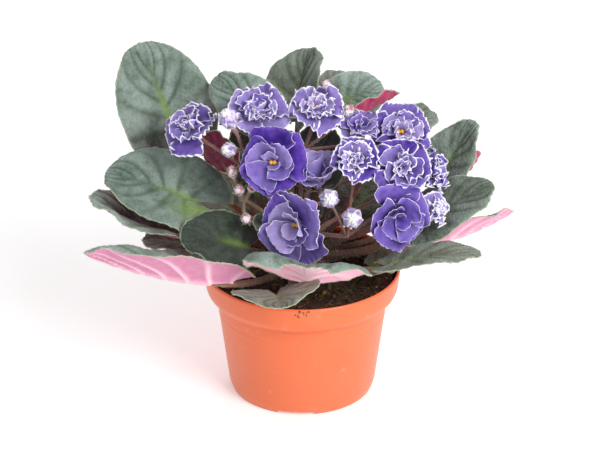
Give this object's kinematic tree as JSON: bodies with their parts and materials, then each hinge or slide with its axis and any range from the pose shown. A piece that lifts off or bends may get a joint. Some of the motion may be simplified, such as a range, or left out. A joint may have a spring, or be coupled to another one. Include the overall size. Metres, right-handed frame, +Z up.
{
  "type": "potted african violet",
  "caption": "Double-flowered African violet in a round tapered nursery pot with a rolled rim: a rosette of hairy oval leaves round a cluster of violet blooms with pale edges.",
  "frame": {"origin": "on the surface that the pot stands on, under the middle of the whole plant's outer box, so the pot's axis is 17 mm in front of it", "axes": "+Z up along the pot's axis, +X to the right along the widest spread of the leaves, -Y towards the front of the plant"},
  "size_m": [0.2628, 0.202, 0.204],
  "materials": {
    "plastic": "satin",
    "soil": "matte",
    "crown": "matte",
    "leaf": "matte",
    "petal": "matte",
    "anther": "matte",
    "bud": "matte",
    "stalk": "matte"
  },
  "bodies": {
    "root": {"pot": "plastic", "soil": "soil", "crown": "crown", "leaf_back_far": "leaf", "leaf_back_left": "leaf", "leaf_back_right": "leaf", "leaf_back_right_edge": "leaf", "leaf_back_right_long": "leaf", "leaf_back_tall": "leaf", "leaf_far": "leaf", "leaf_far_left": "leaf", "leaf_far_right": "leaf", "leaf_front": "leaf", "leaf_front_low": "leaf", "leaf_inner_back": "leaf", "leaf_left": "leaf", "leaf_left_back_tall": "leaf", "leaf_left_front_inner": "leaf", "leaf_left_front_long": "leaf", "leaf_inner_left": "leaf", "leaf_left_inner": "leaf", "leaf_left_low": "leaf", "leaf_left_under": "leaf", "leaf_right": "leaf", "leaf_right_back": "leaf", "leaf_right_front_low": "leaf", "leaf_right_inner_low": "leaf", "leaf_right_low": "leaf", "leaf_right_tall": "leaf", "leaf_young_front": "leaf", "bloom_centre": "petal", "bloom_far_left": "petal", "bloom_front": "petal", "bloom_left_top": "petal", "bloom_middle": "petal", "bloom_middle_right": "petal", "bloom_rear_left": "petal", "bloom_rear_right": "petal", "bloom_right": "petal", "bloom_right_edge": "petal", "bloom_right_low": "petal", "bloom_right_small": "petal", "bloom_right_top": "petal", "bloom_top": "petal", "bloom_top_right": "petal", "anthers_centre": "anther", "anthers_front": "anther", "anthers_right_top": "anther", "anthers_top": "anther", "bud_front": "bud", "bud_front_right": "bud", "bud_left": "bud", "bud_left_low": "bud", "spray_back": "stalk", "spray_centre": "stalk", "spray_left": "stalk", "spray_left_front": "stalk", "spray_rear": "stalk", "spray_right": "stalk", "spray_right_front": "stalk"}
  },
  "joints": []
}
